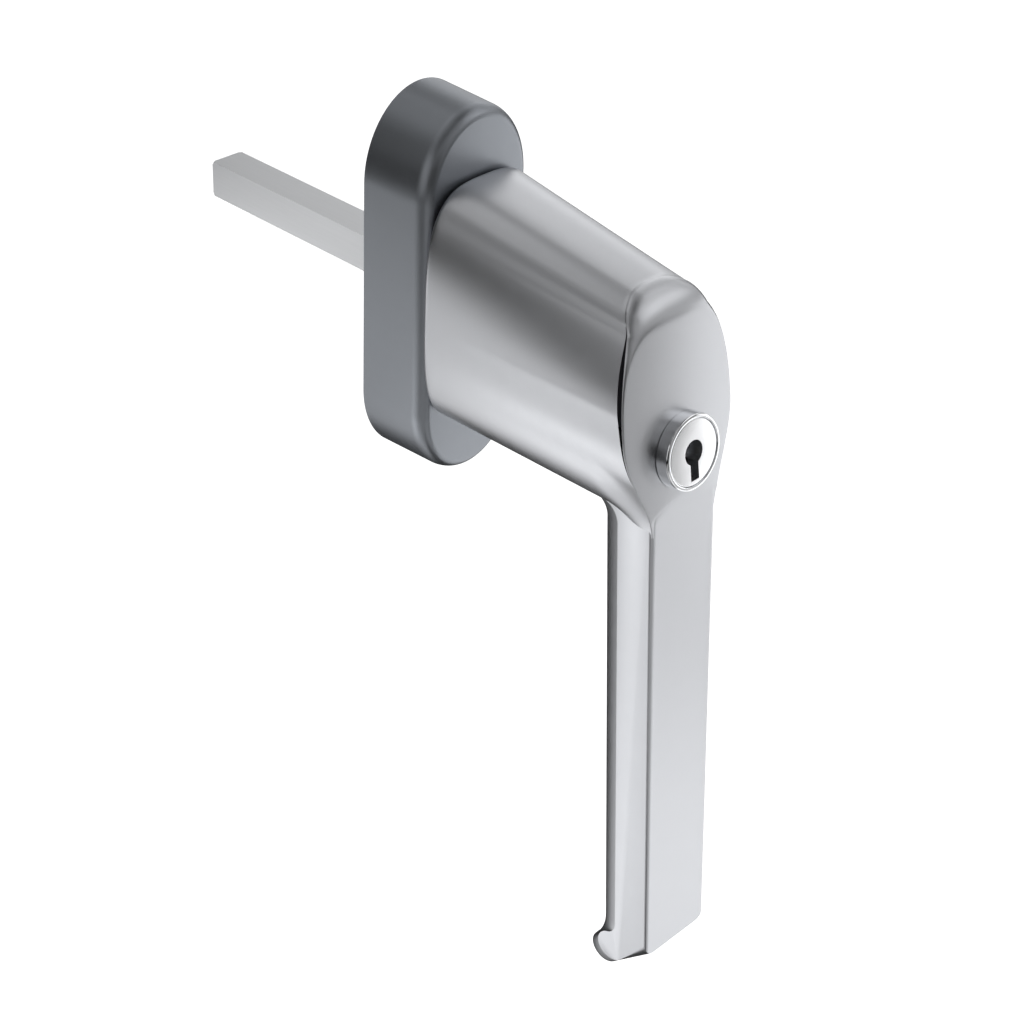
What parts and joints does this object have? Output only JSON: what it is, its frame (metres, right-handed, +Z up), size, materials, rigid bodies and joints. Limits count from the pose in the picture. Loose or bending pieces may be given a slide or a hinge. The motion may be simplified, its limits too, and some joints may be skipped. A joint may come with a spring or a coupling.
{
  "type": "locking window handle",
  "caption": "Locking window handle: long rosette with round ends, tapered neck, keyed head and a straight flat grip; it turns its square spindle through four catch positions.",
  "frame": {"origin": "on the spindle's axis in the plane of the rosette's mounting face, midway between the two fixing screws", "axes": "+Y along the spindle's axis into the window, -Y towards the room; +Z up along the rosette, the grip hangs towards -Z in the closed position; +X to the right, seen from the room"},
  "size_m": [0.027, 0.1239, 0.158],
  "materials": {
    "satin_aluminium": "satin anodised silver",
    "lock_chrome": "bright nickel-chrome plate",
    "zinced_steel": "drawn and zinc plated",
    "steel": "plain",
    "brass": "plain",
    "dark_plastic": "moulded, matt",
    "black_plastic": "moulded, matt",
    "white_plastic": "acetal, natural"
  },
  "bodies": {
    "base": {"base_plate": "dark_plastic", "backing_plate": "steel", "rosette_cover": "satin_aluminium", "bearing_bush": "white_plastic", "glide_ring": "black_plastic", "detent_spring_upper": "steel", "detent_spring_lower": "steel"},
    "handle": {"handle_body": "satin_aluminium", "spindle": "zinced_steel", "spindle_roll_pin": "steel", "thrust_washer": "steel", "detent_cam": "white_plastic", "retaining_ring": "steel", "lock_housing": "lock_chrome", "lock_grub_screw": "steel", "bolt_return_spring": "steel"},
    "key_plug": {"lock_plug": "lock_chrome", "lock_driver": "brass", "driver_screw": "steel", "wafer_springs": "steel"},
    "wafer_set": {"wafers": "brass"},
    "bolt": {"locking_bolt": "steel"}
  },
  "joints": [
    {"name": "handle_turn", "type": "hinge", "parent": "base", "child": "handle", "pos_m": [0, 0, 0], "axis": [0, 1, 0], "range_deg": [-180, 180], "deforming": ["detent_spring_upper", "detent_spring_lower"]},
    {"name": "lock_turn", "type": "hinge", "parent": "handle", "child": "key_plug", "pos_m": [0, -0.06542, -0.00882], "axis": [0, 0.9863, -0.165], "range_deg": [0, 90]},
    {"name": "bolt_slide", "type": "slide", "parent": "handle", "child": "bolt", "axis": [0, 1, 0], "range_m": [0, 0.005], "deforming": ["bolt_return_spring"]},
    {"name": "wafer_slide", "type": "slide", "parent": "key_plug", "child": "wafer_set", "axis": [0, 0.165, 0.9863], "range_m": [0, 0.0006], "stiffness_N_per_m": 50, "springref_m": -0.001, "deforming": ["wafer_springs"]}
  ],
  "couplings": [
    {"joint": "bolt_slide", "follows": "lock_turn", "m_per_rad": 0.00318}
  ]
}
